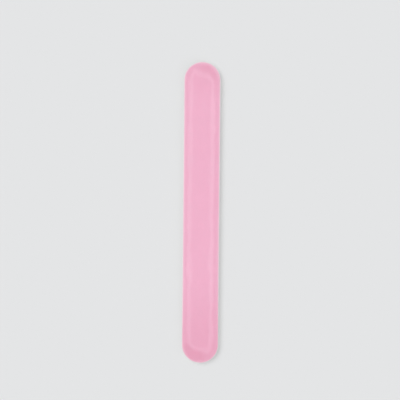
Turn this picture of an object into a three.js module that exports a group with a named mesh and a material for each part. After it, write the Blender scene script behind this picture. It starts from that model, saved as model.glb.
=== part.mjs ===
// A cushioned emery board: a stiff plastic core with a foam cushion and an abrasive paper bonded to each face.
// Millimetres, +Z up. The long axis is Y, and the origin is the centre of the underside.
// The coarse face is up. Every layer is cut in one stroke by one die, which rolls the rim of both faces.

import * as THREE from 'three';

// Outline of the board
const boardLength = 178;
const boardWidth = 21.4;

// Thickness of each layer
const coarseCoatThickness = 0.15;
const fineCoatThickness = 0.07;
const backingPaperThickness = 0.2;
const faceAdhesiveThickness = 0.07;
const cushionThickness = 1.05;
const coreAdhesiveThickness = 0.07;
const coreThickness = 1;

// Rim of the coarse face, where the die enters, and of the fine face, where it leaves
const entryRollDrop = 0.45;
const entryRollWidth = 2.8;
const exitRollDrop = 0.2;
const exitRollWidth = 1.5;

// How far each layer stays inside the outline at the cut edge
const coatMargin = 0.15;
const adhesiveMargin = 0.1;
const cushionWaist = 0.16;

// Sheared edge of the core: a rounded top corner and a torn lower part that leans in
const coreRolloverHeight = 0.14;
const coreRolloverInset = 0.08;
const coreFractureHeight = 0.4;
const coreFractureInset = 0.06;

// Fineness of the facets
const roundSteps = 20;
const entryRingShares = [0.22, 0.46, 0.72, 1];
const exitRingShares = [0.4, 1];
const cushionWallShares = [0.2, 0.5, 0.8];

// The two ends are half circles on the width
const endRadius = boardWidth / 2;
const endCentre = boardLength / 2 - endRadius;

// Height of each layer's lower side above the underside
const finePaperBase = fineCoatThickness;
const lowerFaceAdhesiveBase = finePaperBase + backingPaperThickness;
const lowerCushionBase = lowerFaceAdhesiveBase + faceAdhesiveThickness;
const lowerCoreAdhesiveBase = lowerCushionBase + cushionThickness;
const coreBase = lowerCoreAdhesiveBase + coreAdhesiveThickness;
const upperCoreAdhesiveBase = coreBase + coreThickness;
const upperCushionBase = upperCoreAdhesiveBase + coreAdhesiveThickness;
const upperFaceAdhesiveBase = upperCushionBase + cushionThickness;
const coarsePaperBase = upperFaceAdhesiveBase + faceAdhesiveThickness;
const coarseCoatBase = coarsePaperBase + backingPaperThickness;

// The two faces, each with its outward direction and its rolled rim
const coarseFace = {
  outward: 1,
  rollDrop: entryRollDrop,
  rollWidth: entryRollWidth,
  ringShares: entryRingShares,
};
const fineFace = {
  outward: -1,
  rollDrop: exitRollDrop,
  rollWidth: exitRollWidth,
  ringShares: exitRingShares,
};

// One loop of points parallel to the outline, counter-clockwise seen from above.
function outlineRing(inset, height) {
  const radius = endRadius - inset;
  const points = [];
  for (const end of [1, -1]) {
    for (let step = 0; step <= roundSteps; step += 1) {
      const angle = (Math.PI * step) / roundSteps;
      const x = end * radius * Math.cos(angle);
      const y = end * (endCentre + radius * Math.sin(angle));
      points.push(new THREE.Vector3(x, y, height));
    }
  }
  return points;
}

// Triangles of the flat area inside a loop: one long rectangle, and strips across each round end.
function capTriangles(upward) {
  const perEnd = roundSteps + 1;
  const triangles = [
    [0, roundSteps, perEnd],
    [0, perEnd, perEnd + roundSteps],
  ];
  for (const first of [0, perEnd]) {
    for (let low = first, high = first + roundSteps; high - low > 1; low += 1, high -= 1) {
      triangles.push([low, low + 1, high]);
      if (high - low > 2) {
        triangles.push([low + 1, high - 1, high]);
      }
    }
  }
  return upward ? triangles : triangles.map(([a, b, c]) => [a, c, b]);
}

// A closed solid through a stack of loops, from the middle of its lower side to the middle of its upper side.
function stackedSolid(name, rings, material) {
  const perRing = rings[0].length;
  const indices = [];
  for (let ring = 0; ring < rings.length - 1; ring += 1) {
    for (let point = 0; point < perRing; point += 1) {
      const next = (point + 1) % perRing;
      const a = ring * perRing + point;
      const b = ring * perRing + next;
      const c = a + perRing;
      const d = b + perRing;
      indices.push(a, b, d, a, d, c);
    }
  }
  indices.push(...capTriangles(false).flat());
  const lastRing = (rings.length - 1) * perRing;
  indices.push(...capTriangles(true).flat().map((corner) => corner + lastRing));

  const geometry = new THREE.BufferGeometry();
  geometry.setFromPoints(rings.flat());
  geometry.setIndex(indices);
  geometry.computeVertexNormals();
  const mesh = new THREE.Mesh(geometry, material);
  mesh.name = name;
  return mesh;
}

// Loops, from the edge inwards, of a surface that follows a face's rolled rim.
function rolledRings(face, level, edgeInset) {
  const insideCoat = (share) => coatMargin + share * (face.rollWidth - coatMargin);
  const insets = [0, adhesiveMargin, coatMargin, ...face.ringShares.map(insideCoat)];
  return insets
    .filter((inset) => inset >= edgeInset)
    .map((inset) => {
      const slack = 1 - inset / face.rollWidth;
      return outlineRing(inset, level - face.outward * face.rollDrop * slack * slack);
    });
}

// A thin layer of even thickness that follows a face's rolled rim.
function rolledLayer(name, face, base, thickness, edgeInset, material) {
  const lower = rolledRings(face, base, edgeInset).reverse();
  const upper = rolledRings(face, base + thickness, edgeInset);
  return stackedSolid(name, [...lower, ...upper], material);
}

// A thin flat layer with a straight edge.
function flatLayer(name, base, thickness, edgeInset, material) {
  const rings = [outlineRing(edgeInset, base), outlineRing(edgeInset, base + thickness)];
  return stackedSolid(name, rings, material);
}

// A foam cushion: flat on the core, crowned under the rolled face, with its cut wall drawn in at the waist.
function cushion(name, face, coreLevel, material) {
  const faceRings = rolledRings(face, coreLevel + face.outward * cushionThickness, 0);
  const rimLevel = faceRings[0][0].z;
  const wallRings = cushionWallShares.map((share) => {
    const inset = cushionWaist * Math.sin(Math.PI * share);
    return outlineRing(inset, THREE.MathUtils.lerp(coreLevel, rimLevel, share));
  });
  const rings = [outlineRing(0, coreLevel), ...wallRings, ...faceRings];
  return stackedSolid(name, face.outward > 0 ? rings : rings.reverse(), material);
}

// The core plate, with the edge that a die leaves on stiff sheet.
function corePlate(name, material) {
  const top = coreBase + coreThickness;
  const rings = [
    outlineRing(coreFractureInset, coreBase),
    outlineRing(0, coreBase + coreFractureHeight),
    outlineRing(0, top - coreRolloverHeight),
    outlineRing(coreRolloverInset, top),
  ];
  return stackedSolid(name, rings, material);
}

const coarseCoatMaterial = new THREE.MeshStandardMaterial({ color: '#f0b4cc', roughness: 0.85, metalness: 0 });
const fineCoatMaterial = new THREE.MeshStandardMaterial({ color: '#f2b9cf', roughness: 0.75, metalness: 0 });
const paperMaterial = new THREE.MeshStandardMaterial({ color: '#f6eef1', roughness: 0.9, metalness: 0 });
const foamMaterial = new THREE.MeshStandardMaterial({ color: '#f7f4f1', roughness: 0.8, metalness: 0 });
const coreMaterial = new THREE.MeshStandardMaterial({ color: '#fbfaf7', roughness: 0.4, metalness: 0 });
const adhesiveMaterial = new THREE.MeshStandardMaterial({ color: '#efe9dd', roughness: 0.25, metalness: 0 });

// Fine face, from the underside up to its cushion
const fineSide = new THREE.Group();
fineSide.add(
  rolledLayer('fine_grit_coat', fineFace, 0, fineCoatThickness, coatMargin, fineCoatMaterial),
  rolledLayer('fine_backing_paper', fineFace, finePaperBase, backingPaperThickness, 0, paperMaterial),
  rolledLayer(
    'face_adhesive_lower',
    fineFace,
    lowerFaceAdhesiveBase,
    faceAdhesiveThickness,
    adhesiveMargin,
    adhesiveMaterial,
  ),
  cushion('foam_cushion_lower', fineFace, lowerCoreAdhesiveBase, foamMaterial),
);

// Core, with the adhesive that holds a cushion on each side
const core = new THREE.Group();
core.add(
  flatLayer(
    'core_adhesive_lower',
    lowerCoreAdhesiveBase,
    coreAdhesiveThickness,
    adhesiveMargin,
    adhesiveMaterial,
  ),
  corePlate('core_plate', coreMaterial),
  flatLayer(
    'core_adhesive_upper',
    upperCoreAdhesiveBase,
    coreAdhesiveThickness,
    adhesiveMargin,
    adhesiveMaterial,
  ),
);

// Coarse face, from its cushion up
const coarseSide = new THREE.Group();
coarseSide.add(
  cushion('foam_cushion_upper', coarseFace, upperCushionBase, foamMaterial),
  rolledLayer(
    'face_adhesive_upper',
    coarseFace,
    upperFaceAdhesiveBase,
    faceAdhesiveThickness,
    adhesiveMargin,
    adhesiveMaterial,
  ),
  rolledLayer('coarse_backing_paper', coarseFace, coarsePaperBase, backingPaperThickness, 0, paperMaterial),
  rolledLayer(
    'coarse_grit_coat',
    coarseFace,
    coarseCoatBase,
    coarseCoatThickness,
    coatMargin,
    coarseCoatMaterial,
  ),
);

const emeryBoard = new THREE.Group();
emeryBoard.add(fineSide, core, coarseSide);

export default emeryBoard;
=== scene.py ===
import math

import bmesh
import bpy
import numpy as np
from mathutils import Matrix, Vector


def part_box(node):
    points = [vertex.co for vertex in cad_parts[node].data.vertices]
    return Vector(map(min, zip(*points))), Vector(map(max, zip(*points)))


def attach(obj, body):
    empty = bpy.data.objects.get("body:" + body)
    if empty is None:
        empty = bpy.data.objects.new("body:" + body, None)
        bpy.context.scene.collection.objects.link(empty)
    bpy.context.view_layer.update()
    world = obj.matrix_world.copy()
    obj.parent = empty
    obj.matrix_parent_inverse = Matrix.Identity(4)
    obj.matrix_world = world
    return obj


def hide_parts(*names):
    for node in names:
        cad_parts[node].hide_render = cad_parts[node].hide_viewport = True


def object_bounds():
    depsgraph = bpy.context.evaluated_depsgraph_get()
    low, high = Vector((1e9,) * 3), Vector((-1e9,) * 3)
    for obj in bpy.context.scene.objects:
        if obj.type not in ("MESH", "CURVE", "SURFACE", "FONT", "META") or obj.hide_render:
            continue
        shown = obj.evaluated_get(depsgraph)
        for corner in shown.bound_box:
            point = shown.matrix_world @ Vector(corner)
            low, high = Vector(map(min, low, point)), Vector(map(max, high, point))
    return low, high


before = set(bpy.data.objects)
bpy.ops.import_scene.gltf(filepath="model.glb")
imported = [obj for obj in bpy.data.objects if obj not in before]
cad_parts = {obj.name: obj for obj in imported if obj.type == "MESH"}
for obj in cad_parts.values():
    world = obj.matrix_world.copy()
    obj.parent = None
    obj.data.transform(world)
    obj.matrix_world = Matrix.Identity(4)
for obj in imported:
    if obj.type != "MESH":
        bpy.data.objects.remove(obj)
cad_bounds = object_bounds()


# Core plate
# A 1 mm strip of white high-impact polystyrene that keeps the board straight. The die shears it from
# the coarse side, which leaves a rounded corner, a smooth burnished band and a torn band below it.

MM = 0.001
core_low, core_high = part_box("core_plate")
END_RADIUS = (core_high.x - core_low.x) / 2
END_CENTRE = core_high.y - END_RADIUS
CORE_SPACING = 0.25 * MM
CORE_FACE_INSET = 1.0 * MM
CORE_ROLLOVER = 0.14 * MM
CORE_ROLLOVER_INSET = 0.08 * MM
CORE_ROLLOVER_SHARES = (0.35, 0.7, 1.0)
CORE_BURNISH_STEP = 0.06 * MM
CORE_TORN_SHARE = 0.4
CORE_TORN_INSET = 0.06 * MM
CORE_TORN_DEPTH = 0.025 * MM
CORE_TORN_WAVER = 0.05 * MM
CORE_TORN_WAVE_STEPS = 9
CORE_TEAR_SHARES = (0.2, 0.4, 0.6, 0.8)
CORE_SCRATCH = 0.12 * MM
CORE_SEED = 11
SHARP_CORNER = math.radians(55)

# A baking map holds a wall in strips above each other, and the two faces in the band above the strips.
WALL_MAP_STRIPS = 16
WALL_MAP_SHARE = 0.88
WALL_MAP_STEP = 0.15 * MM
WALL_MAP_MARGIN = 0.04
FACE_MAP_MARGIN = 0.05


def linear(code):
    """The linear colour of an sRGB hex value."""
    shades = [int(code[i : i + 2], 16) / 255 for i in (1, 3, 5)]
    return tuple(c / 12.92 if c <= 0.04045 else ((c + 0.055) / 1.055) ** 2.4 for c in shades) + (1.0,)


def fill(node, inputs):
    """Gives each input a value, or a link to a socket or to the output that another node has in use."""
    for name, value in inputs.items():
        if isinstance(value, bpy.types.Node):
            value = next(socket for socket in value.outputs if socket.enabled)
        if isinstance(value, bpy.types.NodeSocket):
            node.id_data.links.new(value, node.inputs[name])
        else:
            node.inputs[name].default_value = value


def add(tree, kind, inputs=None, **settings):
    """Adds a node with its settings, and fills its inputs."""
    node = tree.nodes.new(kind)
    for name, value in settings.items():
        setattr(node, name, value)
    fill(node, inputs or {})
    return node


def new_material(name):
    """A material with a Principled shader, and its tree."""
    material = bpy.data.materials.new(name)
    material.use_nodes = True
    return material, material.node_tree, material.node_tree.nodes["Principled BSDF"]


def die_line(spacing):
    """Points this far apart round the outline, the way outwards at each, and the steps in a round end."""
    arc_steps = round(math.pi * END_RADIUS / spacing)
    side_steps = round(2 * END_CENTRE / spacing)
    turn = np.arange(arc_steps) / arc_steps * math.pi
    run = (1 - 2 * np.arange(side_steps) / side_steps) * END_CENTRE
    arc = np.stack([np.cos(turn), np.sin(turn)], 1)
    side = np.stack([np.full(side_steps, -END_RADIUS), run], 1)
    half = np.concatenate([arc * END_RADIUS + (0, END_CENTRE), side])
    half_out = np.concatenate([arc, np.tile((-1.0, 0.0), (side_steps, 1))])
    return np.concatenate([half, -half]), np.concatenate([half_out, -half_out]), arc_steps


def corners_of(mesh):
    """Each corner's vertex number, and each vertex's place."""
    corners = np.empty(len(mesh.loops), np.int32)
    mesh.loops.foreach_get("vertex_index", corners)
    places = np.empty(len(mesh.vertices) * 3, np.float32)
    mesh.vertices.foreach_get("co", places)
    return corners, places.reshape(-1, 3)


def map_wall(mesh, count, insets, heights):
    """Maps a solid of rings for baking: its wall cut into strips, and its faces in a band above them."""
    corners, places = corners_of(mesh)
    step = np.hypot(np.diff(insets, axis=0), np.diff(heights, axis=0)).mean(1)
    run = np.concatenate([[0.0], np.cumsum(np.minimum(step, WALL_MAP_STEP))])
    faces, wall = corners[: 2 * count], corners[2 * count :].reshape(-1, 4)
    start = np.arange(len(wall))[:, None] % count
    per_strip = -(-count // WALL_MAP_STRIPS)
    across = (start % per_strip + (wall - start) % count) / per_strip
    in_strip = WALL_MAP_MARGIN + (1 - 2 * WALL_MAP_MARGIN) * (run / run[-1])[wall // count]
    up = (start // per_strip + in_strip) / WALL_MAP_STRIPS
    wall_map = np.stack([across, up * WALL_MAP_SHARE], 2).reshape(-1, 2)
    flat = places[faces, :2] / (2 * END_RADIUS, 2 * (END_CENTRE + END_RADIUS)) + 0.5
    band = (1 - WALL_MAP_SHARE) / 2
    in_band = FACE_MAP_MARGIN + (1 - 2 * FACE_MAP_MARGIN) * flat[:, 0]
    level = WALL_MAP_SHARE + band * (in_band + np.arange(2).repeat(count))
    face_map = np.stack([flat[:, 1], level], 1)
    layer = mesh.uv_layers.new(name="OFBake", do_init=False)
    layer.uv.foreach_set("vector", np.concatenate([face_map, wall_map]).astype(np.float32).ravel())


def along_rings(rows, count):
    """The values at every point of each ring, where a single value stands for a whole ring."""
    return np.stack([np.broadcast_to(row, count) for row in rows])


def solid_of_rings(name, spacing, insets, heights, outward=1, marks=None, open_face=False):
    """A closed solid through rings inside the outline, from the middle of its first side to its last.

    insets, heights and each of the marks hold one value for each ring, or a row of them along it. Where
    open_face is set, the last ring runs beside the board's middle line and is bridged across it.
    """
    line, out, arc_steps = die_line(spacing)
    count = len(line)
    insets = along_rings(insets, count)
    heights = along_rings(heights, count)
    flat = line[None] - out[None] * insets[..., None]
    points = np.concatenate([flat, heights[..., None]], 2).reshape(-1, 3)
    here = np.arange(count)
    after = (here + 1) % count
    quads = [
        np.stack([here, after, after + count, here + count], 1) + ring * count
        for ring in range(len(insets) - 1)
    ]
    last = (len(insets) - 1) * count
    faces = [list(range(count))[::-1]]
    if open_face:
        half = count // 2
        side = np.arange(half - arc_steps + 1)
        left, right = arc_steps + side, (count - side) % count
        across = np.stack([right[:-1], left[:-1], left[1:], right[1:]], 1)
        quads.append(across + last)
        faces += [[last + start + i for i in range(arc_steps + 1)] for start in (0, half)]
    else:
        faces.append([last + i for i in range(count)])
    faces += np.concatenate(quads).tolist()
    if outward < 0:
        faces = [face[::-1] for face in faces]
    mesh = bpy.data.meshes.new(name)
    mesh.from_pydata(points.tolist(), [], faces)
    for mark, values in (marks or {}).items():
        attribute = mesh.attributes.new(mark, "FLOAT", "POINT")
        attribute.data.foreach_set("value", along_rings(values, count).ravel().astype(np.float32))
    if not open_face:
        map_wall(mesh, count, insets, heights)
    mesh.shade_smooth()
    mesh.set_sharp_from_angle(angle=SHARP_CORNER)
    return mesh


def new_piece(name, mesh, material, slot, *nodes):
    """A finished piece that stands for its CAD nodes and wears its material."""
    mesh.materials.clear()
    mesh.materials.append(material)
    piece = bpy.data.objects.new(name, mesh)
    bpy.context.scene.collection.objects.link(piece)
    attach(piece, "root")
    if nodes:
        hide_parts(*nodes)
    return piece


def along_line(count, wave_steps, rng):
    """Smooth random values from -1 to 1 round the outline, with this many steps to each wave."""
    knots = rng.uniform(-1, 1, count // wave_steps)
    at = np.arange(count) / count * len(knots)
    low = at.astype(int)
    blend = (1 - np.cos((at - low) * math.pi)) / 2
    return knots[low] * (1 - blend) + knots[(low + 1) % len(knots)] * blend


core_rng = np.random.default_rng(CORE_SEED)
core_count = len(die_line(CORE_SPACING)[0])
torn_top = core_low.z + (core_high.z - core_low.z) * CORE_TORN_SHARE
torn_line = torn_top + along_line(core_count, CORE_TORN_WAVE_STEPS, core_rng) * CORE_TORN_WAVER

# The rings of the core, from the middle of its underside: the torn band, the burnished band, the rounded
# corner and the upper side.
core_insets = [CORE_FACE_INSET, CORE_TORN_INSET]
core_heights = [core_low.z, core_low.z]
for share in CORE_TEAR_SHARES:
    tear = core_rng.uniform(0, CORE_TORN_DEPTH, core_count)
    core_insets.append(CORE_TORN_INSET * (1 - share) + tear)
    core_heights.append(core_low.z + (torn_line - core_low.z) * share)
core_insets += [0.0, 0.0, 0.0]
core_heights += [torn_line, torn_line + CORE_BURNISH_STEP, core_high.z - CORE_ROLLOVER]
for share in CORE_ROLLOVER_SHARES:
    turn = share * math.pi / 2
    core_insets.append(CORE_ROLLOVER_INSET * (1 - math.cos(turn)))
    core_heights.append(core_high.z - CORE_ROLLOVER * (1 - math.sin(turn)))
core_insets.append(CORE_FACE_INSET)
core_heights.append(core_high.z)
core_mesh = solid_of_rings("core_plate_sheared", CORE_SPACING, core_insets, core_heights)

# High-impact polystyrene sheet, sheared: opaque white with a low sheen. The blade leaves fine upright
# scratches on the edge, 0.05 mm apart, drawn here 0.12 mm apart so that they show.
polystyrene, tree, shader = new_material("sheared_polystyrene")
place = add(tree, "ShaderNodeTexCoord").outputs["Object"]
upright = add(tree, "ShaderNodeMapping", {"Vector": place, "Scale": (1.0, 1.0, 0.08)})
scratch = add(tree, "ShaderNodeTexNoise", {"Vector": upright, "Scale": 1 / CORE_SCRATCH, "Detail": 3.0})
shade = add(tree, "ShaderNodeMapRange", {"Value": scratch, "From Min": 0.3, "From Max": 0.7})
white = add(
    tree,
    "ShaderNodeMix",
    {"Factor": shade, "A": linear("#f3f1ec"), "B": linear("#fbfaf7")},
    data_type="RGBA",
)
rough = add(tree, "ShaderNodeMapRange", {"Value": scratch, "To Min": 0.48, "To Max": 0.7})
bump = add(tree, "ShaderNodeBump", {"Height": scratch, "Strength": 0.5, "Distance": 0.01 * MM})
fill(shader, {"Base Color": white, "Roughness": rough, "Normal": bump})
new_piece("core_plate_sheared", core_mesh, polystyrene, "core_plastic", "core_plate")


# Adhesive films
# Clear acrylic transfer tape, 0.07 mm thick, rolled on between the layers. The die squeezes a little of
# it towards the cut edge, where it shows only as a thin glossy line that wavers in and out.

film_low, film_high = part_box("core_adhesive_upper")
FILM_THICKNESS = film_high.z - film_low.z
FILM_SPACING = 0.35 * MM
FILM_WAVER = 0.05 * MM
FILM_WAVE_STEPS = 6
FILM_BULGE = 0.02 * MM
FILM_FACE_INSETS = (1.2 * MM, 0.6 * MM)
FILM_ROLL_SHARES = (1.0, 0.75, 0.5, 0.25)
FILM_EDGE_SHARES = (0.0, 0.5, 1.0)
DUST_PATCH = 1.5 * MM

# The two faces of the board: the plane of each, the way it faces, and how its rim is rolled down.
PAPER_THICKNESS = 0.2 * MM
COARSE_ROLL_WIDTH = 2.8 * MM
FINE_ROLL_WIDTH = 1.5 * MM
coarse_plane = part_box("coarse_grit_coat")[1].z
fine_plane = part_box("fine_grit_coat")[0].z
sides = {
    "coarse": {"outward": 1, "plane": coarse_plane, "roll_width": COARSE_ROLL_WIDTH},
    "fine": {"outward": -1, "plane": fine_plane, "roll_width": FINE_ROLL_WIDTH},
}
for name, side in sides.items():
    low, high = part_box(f"{name}_backing_paper")
    side["roll_drop"] = high.z - low.z - PAPER_THICKNESS

# Acrylic pressure-sensitive adhesive: clear, faintly straw-coloured and glossy, and dulled by dust
# in patches about 1.5 mm across.
acrylic, tree, shader = new_material("acrylic_transfer_adhesive")
place = add(tree, "ShaderNodeTexCoord").outputs["Object"]
dust = add(tree, "ShaderNodeTexNoise", {"Vector": place, "Scale": 1 / DUST_PATCH, "Detail": 4.0})
straw = add(
    tree,
    "ShaderNodeMix",
    {"Factor": dust, "A": linear("#e9e0cf"), "B": linear("#f1ece1")},
    data_type="RGBA",
)
rough = add(tree, "ShaderNodeMapRange", {"Value": dust, "To Min": 0.12, "To Max": 0.45})
fill(shader, {"Base Color": straw, "Roughness": rough})


def rolled(side, depth, insets):
    """The height of a layer's surface this deep under a face's plane, at these distances from the edge."""
    slack = np.clip(1 - np.asarray(insets, float) / side["roll_width"], 0, None)
    return side["plane"] - side["outward"] * (depth + side["roll_drop"] * slack**2)


def depth_of(side, height):
    """How deep a level lies under a face's plane, away from its rim."""
    return side["outward"] * (side["plane"] - height)


def film(node, side, follows_rim, seed):
    """One film of adhesive, flat on the core or following the rolled rim under the paper."""
    rng = np.random.default_rng(seed)
    count = len(die_line(FILM_SPACING)[0])
    low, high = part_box(node)
    edge = core_high.x - high.x + along_line(count, FILM_WAVE_STEPS, rng) * FILM_WAVER
    last = high.z if side["outward"] > 0 else low.z
    first = last - side["outward"] * FILM_THICKNESS
    inner = list(FILM_FACE_INSETS)
    if follows_rim:
        inner = [side["roll_width"] * share for share in FILM_ROLL_SHARES]
    cut = [np.clip(edge + FILM_BULGE * abs(2 * share - 1), 0, None) for share in FILM_EDGE_SHARES]
    insets = inner + cut + inner[::-1]
    shares = [0.0] * len(inner) + list(FILM_EDGE_SHARES) + [1.0] * len(inner)
    heights = []
    for share, inset in zip(shares, insets, strict=True):
        level = first + (last - first) * share
        heights.append(rolled(side, depth_of(side, level), inset) if follows_rim else level)
    mesh = solid_of_rings(f"{node}_film", FILM_SPACING, insets, heights, side["outward"])
    new_piece(f"{node}_film", mesh, acrylic, "adhesive", node)


film("core_adhesive_upper", sides["coarse"], follows_rim=False, seed=21)
film("core_adhesive_lower", sides["fine"], follows_rim=False, seed=22)
film("face_adhesive_upper", sides["coarse"], follows_rim=True, seed=23)
film("face_adhesive_lower", sides["fine"], follows_rim=True, seed=24)


# Foam cushions
# Two strips of white closed-cell EVA foam that let the board give against the nail. The die squeezes
# them as it cuts, so their walls spring back drawn in at the waist, and show the opened cells.

FOAM_SPACING = 0.075 * MM
FOAM_FACE_INSET = 0.8 * MM
FOAM_CROWN_SHARES = (0.1, 0.3, 0.6, 1.0)
FOAM_WAIST = 0.16 * MM
FOAM_CELL = 0.32 * MM
FOAM_FINE_CELL = 0.1 * MM
FOAM_PIT = 0.1 * MM
FOAM_CORNER_PIT_SHARE = 0.35


def new_tree(name, inputs):
    """A geometry tree with these inputs and a material, its input node and its output node."""
    tree = bpy.data.node_groups.new(name, "GeometryNodeTree")
    for socket, kind in {"Geometry": "Geometry", **inputs, "Material": "Material"}.items():
        tree.interface.new_socket(socket, in_out="INPUT", socket_type=f"NodeSocket{kind}")
    tree.interface.new_socket("Geometry", in_out="OUTPUT", socket_type="NodeSocketGeometry")
    return tree, tree.nodes.new("NodeGroupInput"), tree.nodes.new("NodeGroupOutput")


def finish_tree(tree, shaped, given, result):
    """Ends a geometry tree with real geometry that wears the tree's material."""
    whole = add(tree, "GeometryNodeRealizeInstances", {"Geometry": shaped})
    dressed = add(
        tree, "GeometryNodeSetMaterial", {"Geometry": whole, "Material": given.outputs["Material"]}
    )
    fill(result, {"Geometry": dressed})


def run_nodes(mesh, tree, values):
    """The mesh that a geometry tree makes of this one, with the tree's named inputs set."""
    holder = bpy.data.objects.new("holder", mesh)
    bpy.context.scene.collection.objects.link(holder)
    modifier = holder.modifiers.new("nodes", "NODES")
    modifier.node_group = tree
    for item in tree.interface.items_tree:
        if item.name in values:
            modifier[item.identifier] = values[item.name]
    graph = bpy.context.evaluated_depsgraph_get()
    made = bpy.data.meshes.new_from_object(holder.evaluated_get(graph), depsgraph=graph)
    bpy.data.objects.remove(holder)
    return made


# Opens the cells of a cut foam wall: the plane of the cut passes through cells in space, so the pits
# differ in size, and the thin walls between them stay at the surface.
foam_tree, given, result = new_tree("opened_foam_cells", {"Cell Size": "Float", "Pit Depth": "Float"})
position = add(foam_tree, "GeometryNodeInputPosition")
per_metre = add(foam_tree, "ShaderNodeMath", {0: 1.0, 1: given.outputs["Cell Size"]}, operation="DIVIDE")
cells = add(
    foam_tree,
    "ShaderNodeTexVoronoi",
    {"Vector": position, "Scale": per_metre},
    feature="DISTANCE_TO_EDGE",
)
pit = add(
    foam_tree,
    "ShaderNodeMapRange",
    {"Value": cells, "From Min": 0.05, "From Max": 0.28},
    interpolation_type="SMOOTHSTEP",
)
wall = add(foam_tree, "GeometryNodeInputNamedAttribute", {"Name": "cut_wall"}, data_type="FLOAT")
opened = add(foam_tree, "ShaderNodeMath", {0: pit, 1: wall}, operation="MULTIPLY")
depth = add(foam_tree, "ShaderNodeMath", {0: opened, 1: given.outputs["Pit Depth"]}, operation="MULTIPLY")
normal = add(foam_tree, "GeometryNodeInputNormal")
inwards = add(foam_tree, "ShaderNodeVectorMath", {0: (0.0, 0.0, 0.0), 1: normal}, operation="SUBTRACT")
offset = add(foam_tree, "ShaderNodeVectorMath", {0: inwards, "Scale": depth}, operation="SCALE")
marked = add(
    foam_tree,
    "GeometryNodeStoreNamedAttribute",
    {"Geometry": given, "Name": "open_cell", "Value": opened},
    data_type="FLOAT",
    domain="POINT",
)
moved = add(foam_tree, "GeometryNodeSetPosition", {"Geometry": marked, "Offset": offset})
finish_tree(foam_tree, moved, given, result)

# Closed-cell EVA foam, cut: matte white. Each opened pit is painted a little greyer and warmer than the
# walls between them, as painted shade in the cells. The cells are 0.15 mm across, drawn 0.32 mm so that
# they show, with the finest ones 0.1 mm across.
eva, tree, shader = new_material("cut_eva_foam")
place = add(tree, "ShaderNodeTexCoord").outputs["Object"]
small = add(tree, "ShaderNodeTexVoronoi", {"Vector": place, "Scale": 1 / FOAM_FINE_CELL})
open_cell = add(tree, "ShaderNodeAttribute", attribute_name="open_cell").outputs["Fac"]
fine_cell = add(tree, "ShaderNodeMapRange", {"Value": small, "To Min": 0.12, "To Max": -0.12})
painted_pit_shade = add(tree, "ShaderNodeMath", {0: open_cell, 1: fine_cell}, operation="ADD", use_clamp=True)
# Painted shade in the pits: the more sunk a point, the greyer and warmer its white.
foam_white = add(
    tree,
    "ShaderNodeMix",
    {"Factor": painted_pit_shade, "A": linear("#fbf9f6"), "B": linear("#e6e1da")},
    data_type="RGBA",
)
bump = add(tree, "ShaderNodeBump", {"Height": small, "Strength": 0.6, "Distance": 0.02 * MM})
fill(shader, {"Base Color": foam_white, "Roughness": 0.78, "Normal": bump})


def cushion(name, node, side):
    """A foam cushion: flat on the core, drawn in at the waist, and crowned under the rolled rim."""
    low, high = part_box(node)
    core_level, face_level = (low.z, high.z) if side["outward"] > 0 else (high.z, low.z)
    depth = depth_of(side, face_level)
    rim = float(rolled(side, depth, 0.0))
    rows = round(abs(rim - core_level) / FOAM_SPACING)
    insets, heights, cut_wall = [FOAM_FACE_INSET], [core_level], [0.0]
    for row in range(rows + 1):
        share = row / rows
        insets.append(FOAM_WAIST * math.sin(math.pi * share))
        heights.append(core_level + (rim - core_level) * share)
        cut_wall.append(1.0 if 0 < row < rows else FOAM_CORNER_PIT_SHARE)
    for share in FOAM_CROWN_SHARES:
        insets.append(side["roll_width"] * share)
        heights.append(rolled(side, depth, insets[-1]))
        cut_wall.append(0.0)
    mesh = solid_of_rings(name, FOAM_SPACING, insets, heights, side["outward"], {"cut_wall": cut_wall})
    mesh = run_nodes(mesh, foam_tree, {"Cell Size": FOAM_CELL, "Pit Depth": FOAM_PIT, "Material": eva})
    new_piece(name, mesh, eva, "foam", node)


cushion("foam_cushion_upper_cut", "foam_cushion_upper", sides["coarse"])
cushion("foam_cushion_lower_cut", "foam_cushion_lower", sides["fine"])


# Backing papers
# White kraft paper, 0.2 mm thick, that carries the grit. It is rolled down with the rim, and its cut
# edge shows as the pale line round the face, slightly furred with fibres that the die pulled out.

BOARD_LENGTH = 2 * (END_CENTRE + END_RADIUS)
FLAT_MAP_WIDTH = 2.1 * END_RADIUS
FLAT_MAP_MARGIN = 0.01
PAPER_SPACING = 0.2 * MM
PAPER_FUR = 0.03 * MM
PAPER_BEVEL = 0.012 * MM
PAPER_BUCKLE = 0.006 * MM
PAPER_ROLL_SHARES = (1.0, 0.6, 0.3)
PAPER_EDGE_SHARES = (0.0, 0.25, 0.5, 0.75, 1.0)
PAPER_RIM_INSETS = (0.07 * MM, 0.14 * MM, 0.21 * MM, 0.28 * MM, 0.4 * MM)
PAPER_GRAIN = 0.08 * MM
PAPER_STAIN = 1.2 * MM
FIBRE_SPACING = 0.11 * MM
FIBRE_DENSITY = 6.0e7
FIBRE_CORNER_SHARE = 0.5
FIBRE_LENGTH = 0.2 * MM
FIBRE_WIDTH = 0.014 * MM

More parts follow.
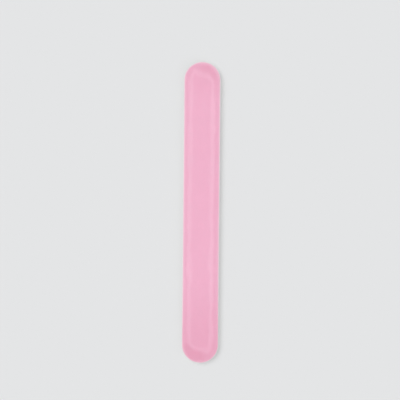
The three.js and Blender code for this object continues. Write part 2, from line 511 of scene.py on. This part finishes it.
# Kraft paper, bleached: matte, with long fibres about 0.03 mm wide, drawn here 0.08 mm wide so that
# they show. Resin from the coat tints it in faint patches.
kraft, tree, shader = new_material("bleached_kraft_paper")
place = add(tree, "ShaderNodeTexCoord").outputs["Object"]
fibres = add(
    tree,
    "ShaderNodeTexNoise",
    {"Vector": place, "Scale": 1 / PAPER_GRAIN, "Detail": 5.0, "Distortion": 1.5},
)
patches = add(tree, "ShaderNodeTexNoise", {"Vector": place, "Scale": 1 / PAPER_STAIN, "Detail": 3.0})
paper_white = add(
    tree,
    "ShaderNodeMix",
    {"Factor": fibres, "A": linear("#ebe0e2"), "B": linear("#faf5f5")},
    data_type="RGBA",
)
tint = add(
    tree, "ShaderNodeMapRange", {"Value": patches, "From Min": 0.45, "From Max": 0.8, "To Max": 0.4}
)
stained = add(
    tree,
    "ShaderNodeMix",
    {"Factor": tint, "A": paper_white, "B": linear("#f4d5e0")},
    data_type="RGBA",
)
bump = add(tree, "ShaderNodeBump", {"Height": fibres, "Strength": 0.8, "Distance": 0.03 * MM})
fill(shader, {"Base Color": stained, "Roughness": 0.88, "Normal": bump})

# Stands short fibres on the cut edge of a sheet. Each is a thin prism that lies mostly along the edge.
# A random value as a float has its least and most in its inputs 2 and 3.
fibre_tree, given, result = new_tree(
    "paper_fibres",
    {"Spacing": "Float", "Density": "Float", "Length": "Float", "Width": "Float", "Seed": "Int"},
)
seed = given.outputs["Seed"]
unmapped = add(fibre_tree, "GeometryNodeRemoveAttribute", {"Geometry": given, "Name": "OFBake"})
edge = add(fibre_tree, "GeometryNodeInputNamedAttribute", {"Name": "cut_edge"}, data_type="FLOAT")
roots = add(
    fibre_tree,
    "GeometryNodeDistributePointsOnFaces",
    {
        "Mesh": unmapped,
        "Distance Min": given.outputs["Spacing"],
        "Density Max": given.outputs["Density"],
        "Density Factor": edge,
        "Seed": seed,
    },
    distribute_method="POISSON",
)
half_width = add(fibre_tree, "ShaderNodeMath", {0: given.outputs["Width"], 1: 0.5}, operation="MULTIPLY")
prism = add(
    fibre_tree,
    "GeometryNodeMeshCone",
    {"Vertices": 3, "Radius Top": 0.0, "Radius Bottom": half_width, "Depth": given.outputs["Length"]},
)
lean = add(
    fibre_tree,
    "FunctionNodeRandomValue",
    {"Min": (-1.0, -1.0, -0.35), "Max": (1.0, 1.0, 0.35), "Seed": seed},
    data_type="FLOAT_VECTOR",
)
outwards = add(
    fibre_tree, "ShaderNodeVectorMath", {0: roots.outputs["Normal"], "Scale": 0.4}, operation="SCALE"
)
leaning = add(fibre_tree, "ShaderNodeVectorMath", {0: outwards, 1: lean}, operation="ADD")
turned = add(fibre_tree, "FunctionNodeAlignRotationToVector", {"Vector": leaning}, axis="Z")
grown = add(fibre_tree, "FunctionNodeRandomValue", {2: 0.35, 3: 1.0, "Seed": seed}, data_type="FLOAT")
placed = add(
    fibre_tree,
    "GeometryNodeInstanceOnPoints",
    {"Points": roots, "Instance": prism, "Rotation": turned, "Scale": grown},
)
finish_tree(fibre_tree, placed, given, result)


def map_flat(mesh, start, length):
    """Maps a mesh for baking as it is seen from above, between two places along the board."""
    corners, places = corners_of(mesh)
    across = places[corners, 0] / FLAT_MAP_WIDTH + 0.5
    along = (places[corners, 1] - start) / (length * (1 + 2 * FLAT_MAP_MARGIN)) + FLAT_MAP_MARGIN
    layer = mesh.uv_layers.new(name="OFBake", do_init=False)
    layer.uv.foreach_set("vector", np.stack([across, along], 1).astype(np.float32).ravel())


def paper(name, node, side, seed):
    """A sheet of backing paper with its cut edge, and the loose fibres on that edge."""
    rng = np.random.default_rng(seed)
    count = len(die_line(PAPER_SPACING)[0])
    low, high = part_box(node)
    outer = depth_of(side, high.z if side["outward"] > 0 else low.z)
    inner = outer + PAPER_THICKNESS
    insets = [side["roll_width"] * share for share in PAPER_ROLL_SHARES]
    heights = [rolled(side, inner, inset) for inset in insets]
    cut_edge = [0.0] * len(insets)
    for share in PAPER_EDGE_SHARES:
        fur = rng.uniform(0, PAPER_FUR, count) + (PAPER_BEVEL if share in (0.0, 1.0) else 0.0)
        insets.append(fur)
        heights.append(rolled(side, inner + (outer - inner) * share, fur))
        cut_edge.append(1.0 if 0 < share < 1 else FIBRE_CORNER_SHARE)
    for inset in PAPER_RIM_INSETS:
        insets.append(inset)
        buckle = rng.uniform(-1, 0, count) * side["outward"] * PAPER_BUCKLE
        heights.append(rolled(side, outer, inset) + buckle)
    for share in PAPER_ROLL_SHARES[::-1]:
        insets.append(side["roll_width"] * share)
        heights.append(rolled(side, outer, insets[-1]))
    cut_edge += [0.0] * (len(insets) - len(cut_edge))
    mesh = solid_of_rings(name, PAPER_SPACING, insets, heights, side["outward"], {"cut_edge": cut_edge})
    hair = run_nodes(
        mesh.copy(),
        fibre_tree,
        {
            "Spacing": FIBRE_SPACING,
            "Density": FIBRE_DENSITY,
            "Length": FIBRE_LENGTH,
            "Width": FIBRE_WIDTH,
            "Seed": seed,
            "Material": kraft,
        },
    )
    new_piece(name, mesh, kraft, "backing_paper", node)
    new_piece(f"{name}_fibres", hair, kraft, "backing_paper")
    map_flat(hair, -BOARD_LENGTH / 2, BOARD_LENGTH)


paper("coarse_paper_cut", "coarse_backing_paper", sides["coarse"], seed=31)
paper("fine_paper_cut", "fine_backing_paper", sides["fine"], seed=32)


# Grit coats
# Abrasive grains set in a pink resin on each paper: 120 grit on the coarse face and 320 grit on the
# fine face. The make coat holds the grains, and the size coat covers them, so all of it is pink.

COAT_ROLL_SHARES = (1.0, 0.5)
COAT_BEVEL = 0.01 * MM
COAT_BEVEL_GRIT = 0.3
COAT_SHOULDER = 0.03 * MM
COAT_RAGGED_STEPS = 2
COAT_WAVE_STEPS = 9
COAT_CHIP_SHARES = (0.3, 1.0)
GRAIN_CORNERS = (3, 4, 3, 3, 4, 3, 3)
GRAIN_FOOT = 0.25
GRAIN_TOP_REACH = (0.12, 0.36)
GRAIN_TOP_SHIFT = 0.12
GRAIN_TOP_LEVELS = (0.6, 1.0)
GRAIN_CORNER_WAVER = 0.25
GRAIN_CORNER_REACH = (0.8, 1.0)
GRAIN_SIZE_SHARES = (0.65, 1.0)
GRAIN_DENSITY = 1.2e8
GRAIN_TONE_SEED = 5

# Where the pink changes: painted shade and a painted highlight in bands along the rolled rim, and painted
# shade towards the ends. The meshes keep how far each point is from the cut edge in millimetres, and the
# waver and the lean of the bands are in millimetres too.
BAND_WAVE = 3.0 * MM
BAND_WAVER = 0.9
BAND_LEAN = 0.35
PINK_PATCH = 6.0 * MM
END_BLEND = (END_CENTRE - 2.0 * MM, END_CENTRE + 3.0 * MM)
END_SPREAD = 0.8
LIGHT_CORNER = 450.0 * MM**2
PAINTED_END_SHADE = ((-36.0 * MM, -80.0 * MM, 0.52), (62.0 * MM, 80.0 * MM, 0.22))
CREST_ROSE = 0.7

# Roughens the marked face of a coat, as resin that has settled between grains.
resin_tree, given, result = new_tree("settled_resin", {"Lump Size": "Float", "Height": "Float"})
position = add(resin_tree, "GeometryNodeInputPosition")
per_metre = add(resin_tree, "ShaderNodeMath", {0: 1.0, 1: given.outputs["Lump Size"]}, operation="DIVIDE")
lumps = add(resin_tree, "ShaderNodeTexNoise", {"Vector": position, "Scale": per_metre, "Detail": 3.0})
below = add(resin_tree, "ShaderNodeMath", {0: lumps, 1: 1.0}, operation="SUBTRACT")
face = add(resin_tree, "GeometryNodeInputNamedAttribute", {"Name": "grit_face"}, data_type="FLOAT")
height = add(resin_tree, "ShaderNodeMath", {0: below, 1: face}, operation="MULTIPLY")
height = add(resin_tree, "ShaderNodeMath", {0: height, 1: given.outputs["Height"]}, operation="MULTIPLY")
normal = add(resin_tree, "GeometryNodeInputNormal")
offset = add(resin_tree, "ShaderNodeVectorMath", {0: normal, "Scale": height}, operation="SCALE")
moved = add(resin_tree, "GeometryNodeSetPosition", {"Geometry": given, "Offset": offset})
finish_tree(resin_tree, moved, given, result)

# Sets grains on the marked face of a coat, between two distances along the board. Each stands on the
# surface under it, turned and tilted at random, and keeps its own tone and its distance from the edge.
grain_tree, given, result = new_tree(
    "abrasive_grains",
    {
        "Grains": "Collection",
        "Spacing": "Float",
        "Density": "Float",
        "Grain Size": "Float",
        "Tilt": "Float",
        "From": "Float",
        "To": "Float",
        "Seed": "Int",
    },
)
seed = given.outputs["Seed"]
face = add(grain_tree, "GeometryNodeInputNamedAttribute", {"Name": "grit_face"}, data_type="FLOAT")
bare = add(grain_tree, "FunctionNodeCompare", {"A": face, "B": 0.9}, operation="LESS_THAN")
gritty = add(
    grain_tree, "GeometryNodeDeleteGeometry", {"Geometry": given, "Selection": bare}, domain="FACE"
)
seats = add(
    grain_tree,
    "GeometryNodeDistributePointsOnFaces",
    {
        "Mesh": gritty,
        "Distance Min": given.outputs["Spacing"],
        "Density Max": given.outputs["Density"],
        "Seed": seed,
    },
    distribute_method="POISSON",
)
square_to_face = add(
    grain_tree,
    "GeometryNodeStoreNamedAttribute",
    {"Geometry": seats, "Name": "seat_turn", "Value": seats.outputs["Rotation"]},
    data_type="QUATERNION",
    domain="POINT",
)
position = add(grain_tree, "GeometryNodeInputPosition")
along = add(grain_tree, "ShaderNodeSeparateXYZ", {0: position}).outputs["Y"]
before, past = (
    add(grain_tree, "FunctionNodeCompare", {"A": along, "B": given.outputs[limit]}, operation=operation)
    for limit, operation in (("From", "LESS_THAN"), ("To", "GREATER_EQUAL"))
)
outside = add(grain_tree, "FunctionNodeBooleanMath", {0: before, 1: past}, operation="OR")
kept = add(
    grain_tree,
    "GeometryNodeDeleteGeometry",
    {"Geometry": square_to_face, "Selection": outside},
    domain="POINT",
)
shapes = add(
    grain_tree,
    "GeometryNodeCollectionInfo",
    {"Collection": given.outputs["Grains"], "Separate Children": True, "Reset Children": True},
)
lean = add(
    grain_tree,
    "FunctionNodeRandomValue",
    {"Min": (-1.0, -1.0, 0.0), "Max": (1.0, 1.0, 0.0), "Seed": seed},
    data_type="FLOAT_VECTOR",
)
lean = add(
    grain_tree, "ShaderNodeVectorMath", {0: lean, "Scale": given.outputs["Tilt"]}, operation="SCALE"
)
spin = add(
    grain_tree,
    "FunctionNodeRandomValue",
    {"Min": (0.0, 0.0, 0.0), "Max": (0.0, 0.0, 2 * math.pi), "Seed": seed},
    data_type="FLOAT_VECTOR",
)
turn = add(grain_tree, "ShaderNodeVectorMath", {0: lean, 1: spin}, operation="ADD")
turn = add(grain_tree, "FunctionNodeEulerToRotation", {"Euler": turn})
seat_turn = add(
    grain_tree, "GeometryNodeInputNamedAttribute", {"Name": "seat_turn"}, data_type="QUATERNION"
)
turned = add(
    grain_tree,
    "FunctionNodeRotateRotation",
    {"Rotation": seat_turn, "Rotate By": turn},
    rotation_space="LOCAL",
)
least, most = GRAIN_SIZE_SHARES
share = add(grain_tree, "FunctionNodeRandomValue", {2: least, 3: most, "Seed": seed}, data_type="FLOAT")
size = add(grain_tree, "ShaderNodeMath", {0: share, 1: given.outputs["Grain Size"]}, operation="MULTIPLY")
placed = add(
    grain_tree,
    "GeometryNodeInstanceOnPoints",
    {"Points": kept, "Instance": shapes, "Pick Instance": True, "Rotation": turned, "Scale": size},
)
tone = add(
    grain_tree,
    "FunctionNodeRandomValue",
    {2: 0.0, 3: 1.0, "Seed": GRAIN_TONE_SEED},
    data_type="FLOAT",
)
toned = add(
    grain_tree,
    "GeometryNodeStoreNamedAttribute",
    {"Geometry": placed, "Name": "grain_tone", "Value": tone},
    data_type="FLOAT",
    domain="INSTANCE",
)
plain = add(grain_tree, "GeometryNodeRemoveAttribute", {"Geometry": toned, "Name": "seat_turn"})
finish_tree(grain_tree, plain, given, result)


def grain_shapes(name, height, most_top_corners, seed):
    """Crushed grains one unit across and this share as high: a broad foot, and a smaller, lopsided top.

    The top has as many corners as the foot, up to the number given, and two corners make a ridge.
    """
    rng = np.random.default_rng(seed)
    shapes = bpy.data.collections.new(name)
    for number, corners in enumerate(GRAIN_CORNERS):
        body = bmesh.new()
        top_reach = rng.uniform(*GRAIN_TOP_REACH)
        top_shift = rng.uniform(-GRAIN_TOP_SHIFT, GRAIN_TOP_SHIFT, 2)
        start = rng.uniform(0, 1)

        # Each ring has its number of corners, its turn, its reach, its shift and its levels.
        rings = (
            (corners, 0.0, 0.5, (0.0, 0.0), (-GRAIN_FOOT, -GRAIN_FOOT)),
            (min(corners, most_top_corners), 0.5, top_reach, top_shift, GRAIN_TOP_LEVELS),
        )
        for corner in range(corners):
            for ring_corners, turned, reach, shift, levels in rings:
                if corner >= ring_corners:
                    continue
                waver = rng.uniform(-GRAIN_CORNER_WAVER, GRAIN_CORNER_WAVER)
                turn = (start + (corner + turned + waver) / corners) * 2 * math.pi
                out = reach * rng.uniform(*GRAIN_CORNER_REACH)
                x = out * math.cos(turn) + shift[0]
                y = out * math.sin(turn) + shift[1]
                body.verts.new((x, y, height * rng.uniform(*levels)))
        hull = bmesh.ops.convex_hull(body, input=body.verts)
        buried = list(set(hull["geom_unused"] + hull["geom_interior"]))
        bmesh.ops.delete(body, geom=buried, context="VERTS")
        bmesh.ops.recalc_face_normals(body, faces=body.faces)
        mesh = bpy.data.meshes.new(f"{name}_{number}")
        body.to_mesh(mesh)
        body.free()
        shapes.objects.link(bpy.data.objects.new(f"{name}_{number}", mesh))
    return shapes


def fill_ramp(node, stops):
    """Gives a colour ramp these stops, each with its position and its colour."""
    ramp = node.color_ramp.elements
    for position, colour in stops[1:-1]:
        ramp.new(position).color = colour
    ramp[0].position, ramp[0].color = stops[0]
    ramp[-1].position, ramp[-1].color = stops[-1]


def pink_coat(name, shades, rim_reach, roughness, tones, speckle_size=None):
    """Pigmented phenolic resin over grit: paler at the very rim, with painted shade and highlight on its
    roll.

    The shades are the very rim's, the middle's, the painted shade band's, the painted highlight of the
    crest and the painted shade towards both ends, and their bands lie within rim_reach millimetres of
    the edge. Grains differ in tone one by one between the two tones, and resin is speckled with them at
    the size given.
    """
    material, tree, shader = new_material(name)
    place = add(tree, "ShaderNodeTexCoord").outputs["Object"]
    stretched = add(tree, "ShaderNodeMapping", {"Vector": place, "Scale": (1.0, 0.3, 1.0)})
    waver = add(tree, "ShaderNodeTexNoise", {"Vector": stretched, "Scale": 1 / BAND_WAVE, "Detail": 3.0})
    shift = add(
        tree,
        "ShaderNodeMapRange",
        {"Value": waver, "From Min": 0.25, "From Max": 0.75, "To Min": -BAND_WAVER, "To Max": BAND_WAVER},
    )
    drift = add(tree, "ShaderNodeTexNoise", {"Vector": place, "Scale": 1 / PINK_PATCH, "Detail": 2.0})
    from_edge = add(tree, "ShaderNodeAttribute", attribute_name="from_edge").outputs["Fac"]
    inside = add(tree, "ShaderNodeMapRange", {"Value": from_edge, "From Min": 0.5, "From Max": 2.5})
    across, along, _ = add(tree, "ShaderNodeSeparateXYZ", {0: place}).outputs
    askew = add(
        tree, "ShaderNodeMath", {0: across, 1: -BAND_LEAN / END_RADIUS, 2: shift}, operation="MULTIPLY_ADD"
    )
    wavering = add(tree, "ShaderNodeMath", {0: askew, 1: inside, 2: from_edge}, operation="MULTIPLY_ADD")

    # At the round ends the painted bands of shade and highlight lie further in, and on one side of each
    # end they spread less.
    diagonal = add(tree, "ShaderNodeMath", {0: across, 1: along}, operation="MULTIPLY")
    side_share = add(
        tree,
        "ShaderNodeMapRange",
        {"Value": diagonal, "From Min": -LIGHT_CORNER, "From Max": 0.0, "To Min": 0.12},
        interpolation_type="SMOOTHSTEP",
    )
    from_middle = add(tree, "ShaderNodeMath", {0: along}, operation="ABSOLUTE")
    end = add(
        tree,
        "ShaderNodeMapRange",
        {"Value": from_middle, "From Min": END_BLEND[0], "From Max": END_BLEND[1]},
        interpolation_type="SMOOTHSTEP",
    )
    end = add(tree, "ShaderNodeMath", {0: end, 1: side_share}, operation="MULTIPLY")
    spread = add(tree, "ShaderNodeMath", {0: end, 1: END_SPREAD, 2: 1.0}, operation="MULTIPLY_ADD")
    rolled_in = add(tree, "ShaderNodeMath", {0: wavering, 1: spread}, operation="DIVIDE")
    reach = add(tree, "ShaderNodeMath", {0: rolled_in, 1: rim_reach}, operation="DIVIDE")
    # The rim's ramp: paler at the very rim, then a painted band of shade and a painted highlight on the
    # crest.
    rim = add(tree, "ShaderNodeValToRGB", {"Fac": reach})
    pale_rim, pink, painted_shade_band, pale, end_shade = (linear(shade) for shade in shades)
    bands = ((0.03, pale_rim), (0.18, pink), (0.38, painted_shade_band), (0.6, pale), (0.78, pale), (1.0, pink))
    fill_ramp(rim, bands)

    # Painted shade makes the pink rosier towards both ends, the near one above all, and in patches on
    # their rims. The crest, where the flat face meets the rolled rim, keeps less of it, as it carries the
    # painted highlight.
    near, far = (
        add(
            tree,
            "ShaderNodeMapRange",
            {"Value": along, "From Min": start, "From Max": full, "To Max": most},
            interpolation_type="SMOOTHSTEP",
        )
        for start, full, most in PAINTED_END_SHADE
    )
    end_shading = add(tree, "ShaderNodeMath", {0: near, 1: far}, operation="ADD")
    outer = add(tree, "ShaderNodeMapRange", {"Value": rolled_in, "From Min": 0.5, "From Max": 1.3})
    inner = add(tree, "ShaderNodeMapRange", {"Value": rolled_in, "From Min": 4.6, "From Max": 2.4})
    strength = add(
        tree,
        "ShaderNodeMapRange",
        {"Value": along, "From Min": -END_CENTRE, "From Max": END_CENTRE, "To Min": 1.1, "To Max": 0.5},
    )
    band = outer
    for factor in (inner, end, strength):
        band = add(tree, "ShaderNodeMath", {0: band, 1: factor}, operation="MULTIPLY")
    patchy = add(
        tree,
        "ShaderNodeMapRange",
        {"Value": drift, "From Min": 0.35, "From Max": 0.65, "To Min": 0.35, "To Max": 1.1},
    )
    share = add(tree, "ShaderNodeMath", {0: band, 1: patchy, 2: end_shading}, operation="MULTIPLY_ADD")
    crest = add(tree, "ShaderNodeValToRGB", {"Fac": reach})
    whole = (1.0, 1.0, 1.0, 1.0)
    less = (CREST_ROSE, CREST_ROSE, CREST_ROSE, 1.0)
    fill_ramp(crest, ((0.48, whole), (0.65, less), (0.78, less), (1.0, whole)))
    share = add(tree, "ShaderNodeMath", {0: share, 1: crest}, operation="MULTIPLY", use_clamp=True)
    ended = add(tree, "ShaderNodeMix", {"Factor": share, "A": rim, "B": end_shade}, data_type="RGBA")

    if speckle_size:
        scale = 1 / speckle_size
        speckle = add(tree, "ShaderNodeTexNoise", {"Vector": place, "Scale": scale, "Detail": 3.0})
        bump = add(tree, "ShaderNodeBump", {"Height": speckle, "Strength": 0.7, "Distance": 0.02 * MM})
        fill(shader, {"Normal": bump})
    else:
        speckle = add(tree, "ShaderNodeAttribute", attribute_name="grain_tone").outputs["Fac"]
    own = add(tree, "ShaderNodeMapRange", {"Value": speckle, "To Min": tones[0], "To Max": tones[1]})
    uneven = add(tree, "ShaderNodeMapRange", {"Value": drift, "To Min": 0.98, "To Max": 1.02})
    tone = add(tree, "ShaderNodeMath", {0: own, 1: uneven}, operation="MULTIPLY")
    shade = add(tree, "ShaderNodeVectorMath", {0: ended, "Scale": tone}, operation="SCALE")
    fill(shader, {"Base Color": shade, "Roughness": roughness})
    return material


def grit_coat(name, node, side, coat, grains):
    """A coat of resin with its ragged cut edge, and the grains set in it."""
    rng = np.random.default_rng(coat["seed"])
    count = len(die_line(coat["spacing"])[0])
    margin = core_high.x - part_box(node)[1].x
    ragged = margin + along_line(count, COAT_RAGGED_STEPS, rng) * coat["ragged"]
    ragged += along_line(count, COAT_WAVE_STEPS, rng) * coat["ragged"] / 2
    for _ in range(coat["chips"]):
        chip = rng.integers(count)
        ragged[chip] += rng.uniform(*COAT_CHIP_SHARES) * coat["chip_depth"]
    resin_depth = coat["thickness"] * (1 - coat["resin_share"])
    insets = [side["roll_width"] * share for share in COAT_ROLL_SHARES] + [ragged]
    heights = [rolled(side, coat["thickness"], inset) for inset in insets]
    grit_face = [0.0] * len(insets) + [COAT_BEVEL_GRIT]
    insets.append(ragged + COAT_BEVEL)
    heights.append(rolled(side, (coat["thickness"] + resin_depth) / 2, insets[-1]))
    rows = round((END_RADIUS - margin) / coat["row_spacing"])
    for row in range(rows):
        share = row / rows
        insets.append(ragged * (1 - share) + END_RADIUS * share + COAT_SHOULDER * (1 - share))
        heights.append(rolled(side, resin_depth, insets[-1]))
        grit_face.append(1.0)
    marks = {"grit_face": grit_face, "from_edge": [inset / MM for inset in insets]}
    mesh = solid_of_rings(name, coat["spacing"], insets, heights, side["outward"], marks, open_face=True)
    lumps = {"Lump Size": coat["lump"], "Height": coat["lump_height"], "Material": coat["resin"]}
    resin = run_nodes(mesh, resin_tree, lumps)
    new_piece(name, resin, coat["resin"], coat["slot"], node)
    shapes = grain_shapes(f"{name}_shape", grains["height"], grains["top_corners"], grains["seed"])
    length = BOARD_LENGTH / grains["parts"]
    for part in range(grains["parts"]):
        start = -BOARD_LENGTH / 2 + length * part
        set_in = run_nodes(
            resin.copy(),
            grain_tree,
            {
                "Grains": shapes,
                "Spacing": grains["spacing"],
                "Density": GRAIN_DENSITY,
                "Grain Size": grains["size"],
                "Tilt": grains["tilt"],
                "From": start,
                "To": start + length,
                "Seed": grains["seed"],
                "Material": coat["grain"],
            },
        )
        new_piece(f"{name}_grains_{part + 1}", set_in, coat["grain"], coat["slot"])
        map_flat(set_in, start, length)
    map_flat(resin, -BOARD_LENGTH / 2, BOARD_LENGTH)


# 120 grit grains are about 0.125 mm across, drawn 0.21 to 0.33 mm across so that they show.
# Very rim, middle, painted shade band, painted highlight on the crest, and painted shade of the ends.
coarse_shades = ("#f9d3e2", "#f8c0d8", "#f6bdd5", "#fbc7dd", "#efafc8")
COARSE_RIM_REACH = 6.0
coarse_coat = {
    "seed": 41,
    "thickness": 0.15 * MM,
    "resin_share": 0.2,
    "spacing": 0.2 * MM,
    "row_spacing": 0.45 * MM,
    "ragged": 0.03 * MM,
    "chips": 200,
    "chip_depth": 0.16 * MM,
    "lump": 0.35 * MM,
    "lump_height": 0.03 * MM,
    "slot": "coarse_grit",
    # The resin's tones sit below the grains': painted shade between the grains and a painted highlight on
    # their tops, with random speckle within each.
    "resin": pink_coat(
        "pink_resin_coarse",
        coarse_shades,
        COARSE_RIM_REACH,
        roughness=0.6,
        tones=(0.86, 0.99),
        speckle_size=0.1 * MM,
    ),
    "grain": pink_coat(
        "pink_coated_grain_coarse",
        coarse_shades,
        COARSE_RIM_REACH,
        roughness=0.5,
        tones=(0.96, 1.05),
    ),
}
coarse_grains = {
    "seed": 42,
    "parts": 4,
    "spacing": 0.175 * MM,
    "size": 0.33 * MM,
    "height": 0.38,
    "top_corners": 4,
    "tilt": 0.12,
}
grit_coat("coarse_grit_coat_resin", "coarse_grit_coat", sides["coarse"], coarse_coat, coarse_grains)

# 320 grit grains are about 0.046 mm across, drawn 0.16 to 0.25 mm across so that they show.
# Very rim, middle, painted shade band, painted highlight on the crest, and painted shade of the ends.
fine_shades = ("#f8d6e4", "#f6c3d8", "#f5c1d6", "#f7c7db", "#f3bbd0")
FINE_RIM_REACH = 3.4
fine_coat = {
    "seed": 51,
    "thickness": 0.07 * MM,
    "resin_share": 0.25,
    "spacing": 0.2 * MM,
    "row_spacing": 0.45 * MM,
    "ragged": 0.02 * MM,
    "chips": 80,
    "chip_depth": 0.1 * MM,
    "lump": 0.22 * MM,
    "lump_height": 0.008 * MM,
    "slot": "fine_grit",
    # The resin's tones sit below the grains': painted shade between the grains and a painted highlight on
    # their tops, with random speckle within each.
    "resin": pink_coat(
        "pink_resin_fine",
        fine_shades,
        FINE_RIM_REACH,
        roughness=0.55,
        tones=(0.74, 1.07),
        speckle_size=0.06 * MM,
    ),
    "grain": pink_coat(
        "pink_coated_grain_fine",
        fine_shades,
        FINE_RIM_REACH,
        roughness=0.45,
        tones=(0.9, 1.08),
    ),
}
fine_grains = {
    "seed": 52,
    "parts": 3,
    "spacing": 0.15 * MM,
    "size": 0.25 * MM,
    "height": 0.185,
    "top_corners": 2,
    "tilt": 0.08,
}
grit_coat("fine_grit_coat_resin", "fine_grit_coat", sides["fine"], fine_coat, fine_grains)


# Table, lights and camera
# The board lies with its fine face on a plain pale table, under soft even light, and the camera looks
# straight down at the coarse face, as the photograph does.

TABLE_SIZE = 40.0
TABLE_COLOUR = "#e4e5e6"
UNDER_REACH = 0.4 * MM

# From below the table can't be seen, and it lets light through to the face that lies on it.
matte_table, tree, shader = new_material("matte_pale_table")
fill(shader, {"Base Color": linear(TABLE_COLOUR), "Roughness": 1.0, "Specular IOR Level": 0.0})
path = add(tree, "ShaderNodeLightPath")
behind = add(tree, "ShaderNodeNewGeometry").outputs["Backfacing"]
near = add(tree, "ShaderNodeMath", {0: path.outputs["Ray Length"], 1: UNDER_REACH}, operation="LESS_THAN")
unseen = add(tree, "ShaderNodeMath", {0: 1.0, 1: path.outputs["Is Camera Ray"]}, operation="SUBTRACT")
under = add(tree, "ShaderNodeMath", {0: near, 1: unseen}, operation="MULTIPLY")
open_side = add(tree, "ShaderNodeMath", {0: behind, 1: under}, operation="MAXIMUM")
clear = add(tree, "ShaderNodeBsdfTransparent")
both = add(tree, "ShaderNodeMixShader", {0: open_side, 1: shader, 2: clear})
fill(tree.nodes["Material Output"], {"Surface": both})
table_mesh = bpy.data.meshes.new("table_top")
half, level = TABLE_SIZE / 2, cad_bounds[0].z
corners = [(-half, -half, level), (half, -half, level), (half, half, level), (-half, half, level)]
table_mesh.from_pydata(corners, [], [(0, 1, 2, 3)])
table_mesh.materials.append(matte_table)
table_top = bpy.data.objects.new("table_top", table_mesh)
bpy.context.scene.collection.objects.link(table_top)

WORLD_STRENGTH = 0.6
world = bpy.data.worlds.new("soft_room")
bpy.context.scene.world = world
world.use_nodes = True
tree = world.node_tree
room = tree.nodes["Background"]
fill(room, {"Color": (1.0, 1.0, 1.0, 1.0), "Strength": WORLD_STRENGTH})
seen = add(tree, "ShaderNodeBackground", {"Color": linear(TABLE_COLOUR), "Strength": 1.0})
path = add(tree, "ShaderNodeLightPath")
looks = path.outputs["Is Glossy Ray"]
for ray in ("Is Transmission Ray", "Is Camera Ray"):
    looks = add(tree, "ShaderNodeMath", {0: looks, 1: path.outputs[ray]}, operation="MAXIMUM")
mixed = add(tree, "ShaderNodeMixShader", {0: looks, 1: room, 2: seen})
fill(tree.nodes["World Output"], {"Surface": mixed})


def soft_light(name, way, share, spread_degrees):
    """Even light from this way, that gives a surface square to the table this share of full white."""
    light = bpy.data.lights.new(name, "SUN")
    light.angle = math.radians(spread_degrees)
    light.energy = share * math.pi / abs(Vector(way).normalized().z)
    holder = bpy.data.objects.new(name, light)
    holder.rotation_mode = "QUATERNION"
    holder.rotation_quaternion = (-Vector(way)).to_track_quat("-Z", "Y")
    bpy.context.scene.collection.objects.link(holder)


soft_light("key_light", (-0.55, 0.35, 1.0), share=0.28, spread_degrees=45)
soft_light("fill_light", (0.5, -0.5, 1.0), share=0.12, spread_degrees=70)
soft_light("under_light", (0.2, -0.3, -1.0), share=0.4, spread_degrees=60)

# The camera stands square to the board, turned by the small lean that the board has in the picture, and
# as far off as makes the board as long in the frame as it is there.

IMAGE_PIXELS = 400
BOARD_PIXELS = 301.2
BOARD_CENTRE_PIXEL = (201.2, 212.4)
LEAN = math.radians(0.52)
LENS = 90.0
SENSOR = 36.0
NEAREST = 0.05
FURTHEST = 20
pixel = (cad_bounds[1].y - cad_bounds[0].y) / BOARD_PIXELS
distance = IMAGE_PIXELS * pixel / 2 / (SENSOR / 2 / LENS)
camera_data = bpy.data.cameras.new("camera")
camera_data.lens = LENS
camera_data.sensor_width = SENSOR
camera_data.clip_start = distance * NEAREST
camera_data.clip_end = distance * FURTHEST
camera = bpy.data.objects.new("camera", camera_data)
across = (IMAGE_PIXELS / 2 - BOARD_CENTRE_PIXEL[0]) * pixel
down = (BOARD_CENTRE_PIXEL[1] - IMAGE_PIXELS / 2) * pixel
camera.location = (
    across * math.cos(LEAN) - down * math.sin(LEAN),
    across * math.sin(LEAN) + down * math.cos(LEAN),
    cad_bounds[1].z + distance,
)
camera.rotation_euler = (0.0, 0.0, LEAN)
bpy.context.scene.collection.objects.link(camera)
bpy.context.scene.camera = camera
bpy.context.scene.view_settings.view_transform = "Standard"
